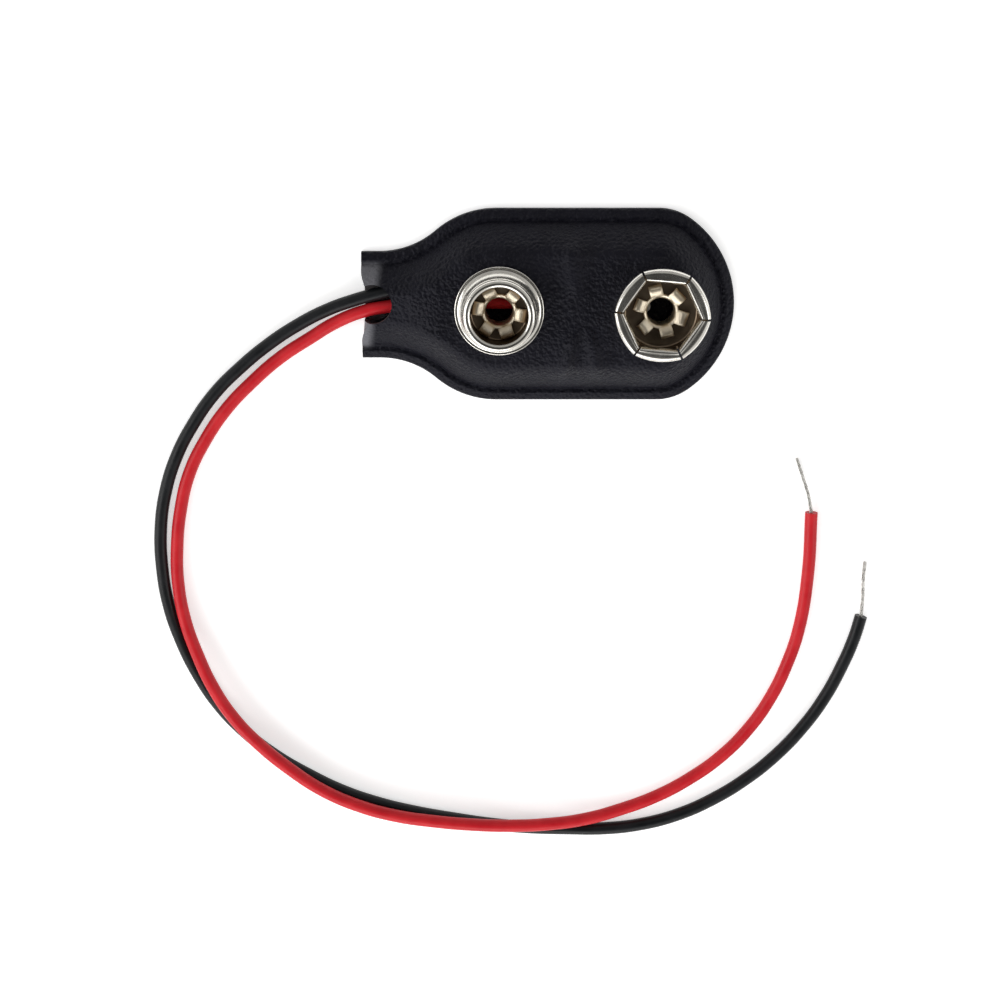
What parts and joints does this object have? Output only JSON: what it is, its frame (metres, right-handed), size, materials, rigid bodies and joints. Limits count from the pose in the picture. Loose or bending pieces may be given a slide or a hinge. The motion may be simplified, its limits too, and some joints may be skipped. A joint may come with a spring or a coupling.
{
  "type": "9v battery snap",
  "caption": "Battery snap for a 9 V block battery: a round stud and a hexagonal spring socket on a folded vinyl jacket, with a black and a red lead.",
  "frame": {"origin": "under the middle of the jacket, on its flat back", "axes": "+X from the folded neck toward the round end, +Z out of the contact face"},
  "size_m": [0.0586, 0.0532, 0.0056],
  "materials": {
    "black_vinyl": "fine leather grain, satin",
    "fibre_board": "matt pressed fibre",
    "nickel_plate": "bright nickel plate",
    "eyelet_brass": "pale plated brass, slightly scuffed",
    "solder": "dull solder",
    "black_insulation": "satin cable insulation",
    "red_insulation": "satin cable insulation",
    "tinned_copper": "tinned and twisted strands"
  },
  "bodies": {
    "root": {"vinyl_jacket": "black_vinyl", "backing_board": "fibre_board", "stud_contact": "nickel_plate", "socket_contact": "nickel_plate", "stud_eyelet": "eyelet_brass", "socket_eyelet": "eyelet_brass", "stud_solder": "solder", "socket_solder": "solder", "black_lead": "black_insulation", "red_lead": "red_insulation", "black_strands": "tinned_copper", "red_strands": "tinned_copper"}
  },
  "joints": []
}
